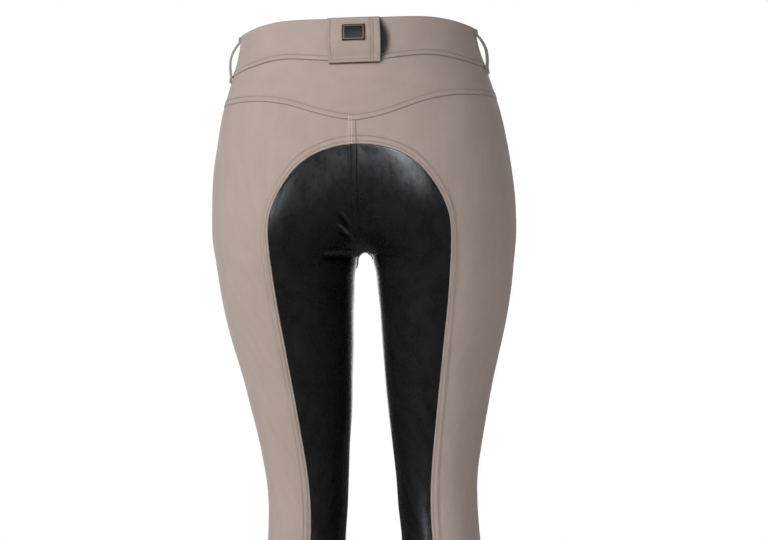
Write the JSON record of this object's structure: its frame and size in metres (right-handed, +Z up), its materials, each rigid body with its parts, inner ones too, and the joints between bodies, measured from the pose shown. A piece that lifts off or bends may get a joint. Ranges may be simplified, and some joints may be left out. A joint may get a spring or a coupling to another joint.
{
  "type": "riding breeches",
  "caption": "Full-seat riding breeches: stretch fabric legs, black leather-look seat and inner legs, back yoke, waistband with belt loops and open cuffs.",
  "frame": {"origin": "centre of the waist opening, level with the middle of the waistband at the centre back, where the wearer's waist holds the garment", "axes": "+Z up along the body, +Y towards the wearer's front, +X towards the wearer's right"},
  "size_m": [0.3706, 0.232, 0.9749],
  "materials": {
    "stretch_twill": "matte stretch twill, taupe",
    "waistband_twill": "matte stretch twill, taupe, firm",
    "seat_leather": "smooth black leather-look, soft gloss",
    "label": "plain black rubber patch",
    "button": "dark brushed metal"
  },
  "bodies": {
    "root": {"waistband": "waistband_twill", "waist_tab": "waistband_twill", "back_yoke": "stretch_twill", "back_left": "stretch_twill", "back_right": "stretch_twill", "front_left": "stretch_twill", "front_right": "stretch_twill", "cuff_left": "stretch_twill", "cuff_right": "stretch_twill", "fly": "stretch_twill", "back_loop": "stretch_twill", "side_loop_left": "stretch_twill", "side_loop_right": "stretch_twill", "front_loop_left": "stretch_twill", "front_loop_right": "stretch_twill", "seat_left": "seat_leather", "seat_right": "seat_leather", "label_patch": "label", "waist_button": "button"}
  },
  "joints": []
}
